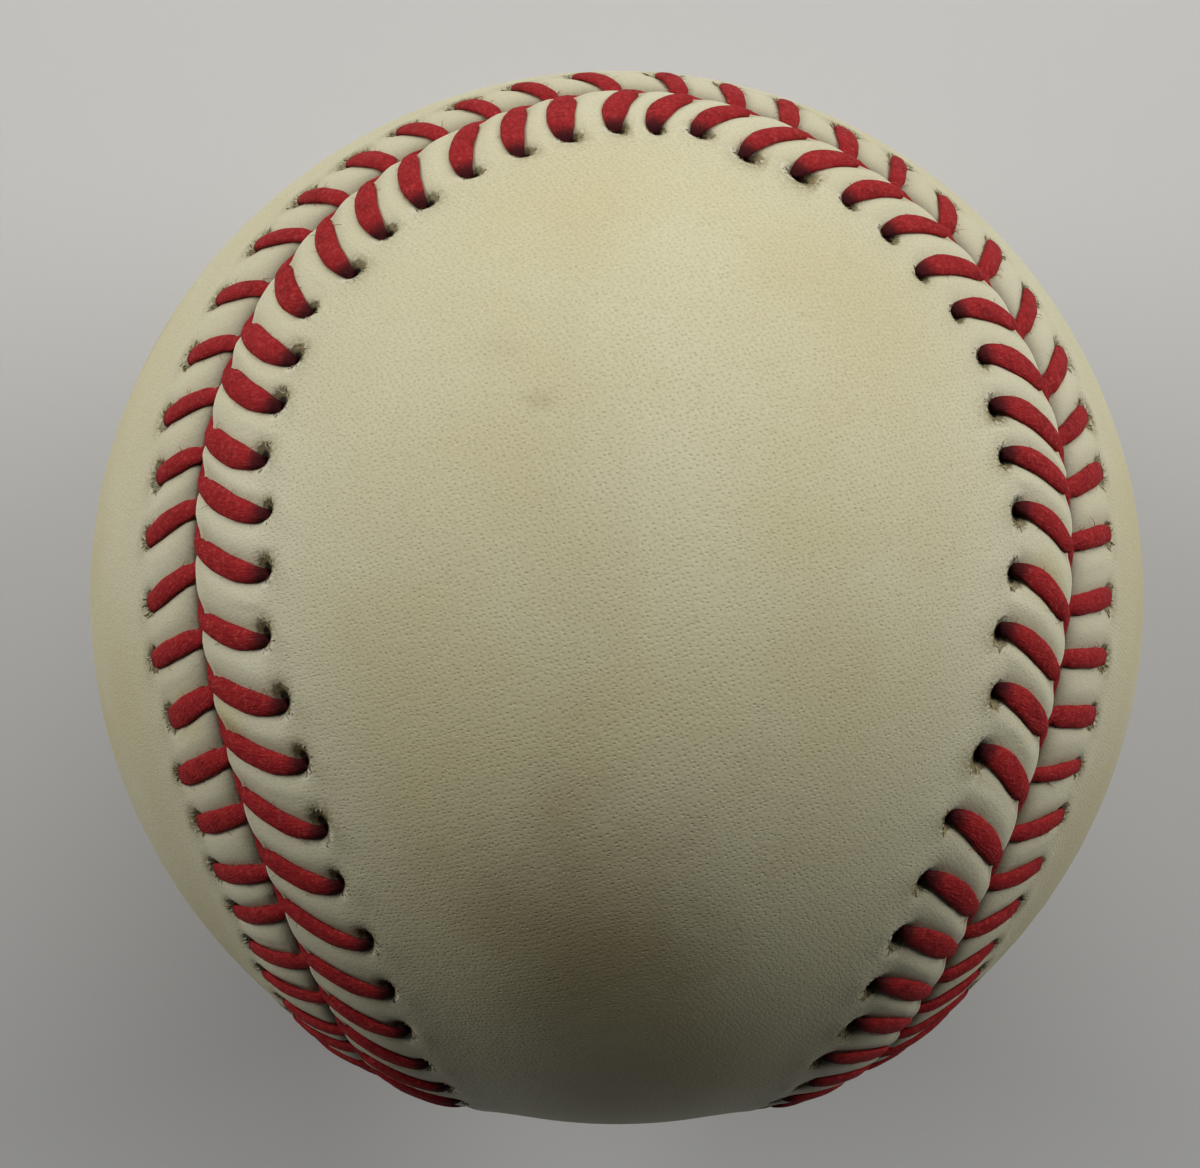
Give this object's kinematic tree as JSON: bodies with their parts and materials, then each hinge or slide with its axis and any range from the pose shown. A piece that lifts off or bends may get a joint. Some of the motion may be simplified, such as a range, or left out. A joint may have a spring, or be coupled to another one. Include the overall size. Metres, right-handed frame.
{
  "type": "baseball",
  "caption": "Baseball: a cork and rubber pill under wool and cotton windings, covered by interlocking figure-eight leather panels laced with red thread along a raised seam.",
  "frame": {"origin": "centre of the ball", "axes": "+Z and -Z go through the middles of cover panel a's lobes, +X and -X through cover panel b's lobes, -Y through panel a's waist and +Y through panel b's waist"},
  "size_m": [0.0744, 0.075, 0.0744],
  "materials": {
    "cork": "matte composition cork",
    "black_rubber": "matte moulded",
    "red_rubber": "matte moulded",
    "grey_wool": "wound yarn",
    "white_wool": "wound yarn",
    "white_cotton": "fine wound yarn",
    "cover_leather": "alum-tanned white hide, worn cream, satin",
    "red_thread": "waxed multi-ply thread"
  },
  "bodies": {
    "root": {"cork_core": "cork", "black_rubber_cup_upper": "black_rubber", "black_rubber_cup_lower": "black_rubber", "red_rubber_washer": "red_rubber", "red_rubber_layer": "red_rubber", "four_ply_wool_winding": "grey_wool", "white_wool_winding": "white_wool", "grey_wool_winding": "grey_wool", "cotton_winding": "white_cotton", "cover_panel_a": "cover_leather", "cover_panel_b": "cover_leather", "stitching_strand_a": "red_thread", "stitching_strand_b": "red_thread"}
  },
  "joints": []
}
